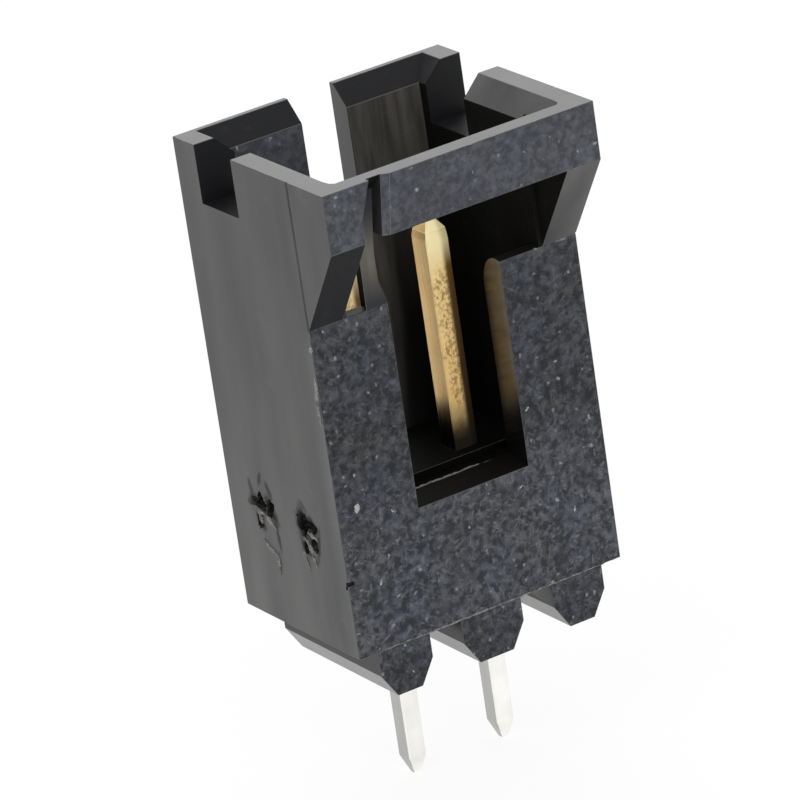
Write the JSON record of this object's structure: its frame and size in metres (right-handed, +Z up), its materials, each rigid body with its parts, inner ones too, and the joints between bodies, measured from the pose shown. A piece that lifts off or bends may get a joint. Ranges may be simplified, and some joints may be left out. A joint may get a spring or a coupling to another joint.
{
  "type": "shrouded pin header",
  "caption": "Upright shrouded pin header for a circuit board: a moulded housing with a windowed front, hood and latch bar holds square contacts for a cable plug.",
  "frame": {"origin": "middle of the contact row on the board's top face, under the middle standoff rib", "axes": "+Z up out of the board towards the plug mouth, +X along the contact row, -Y towards the latch side"},
  "size_m": [0.0074, 0.0065, 0.0164],
  "materials": {
    "housing_plastic": "moulded, fine glass-fibre fleck",
    "contact_plating": "gold-plated post, bright tinned tail"
  },
  "bodies": {
    "root": {"housing": "housing_plastic", "pin_1": "contact_plating", "pin_2": "contact_plating"}
  },
  "joints": []
}
